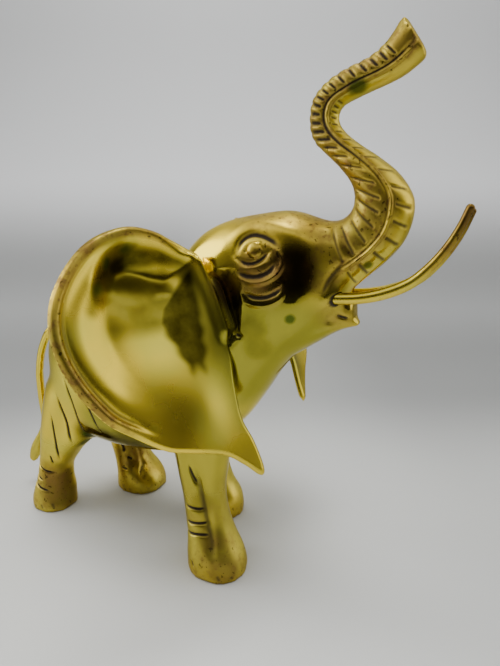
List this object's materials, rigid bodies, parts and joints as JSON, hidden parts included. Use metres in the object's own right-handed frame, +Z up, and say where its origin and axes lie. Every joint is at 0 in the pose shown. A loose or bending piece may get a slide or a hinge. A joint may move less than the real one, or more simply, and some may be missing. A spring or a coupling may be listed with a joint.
{
  "type": "brass elephant sculpture",
  "caption": "Cast brass elephant walking with its trunk raised, wide dished ears and rod tusks set in sockets; it stands on flat soles.",
  "frame": {"origin": "on the surface that the four soles stand on, under the middle of the figure's box", "axes": "+X forward, the way the elephant walks; +Y to its left; +Z up"},
  "size_m": [0.2258, 0.1552, 0.2198],
  "materials": {
    "cast_brass": "polished gold-olive brass with brown tarnish on the ear rims, the trunk and the feet, and near-black in the cuts",
    "rod_brass": "drawn brass rod, polished, a little brown towards the tip"
  },
  "bodies": {
    "root": {"elephant_casting": "cast_brass", "right_tusk": "rod_brass", "left_tusk": "rod_brass"}
  },
  "joints": []
}
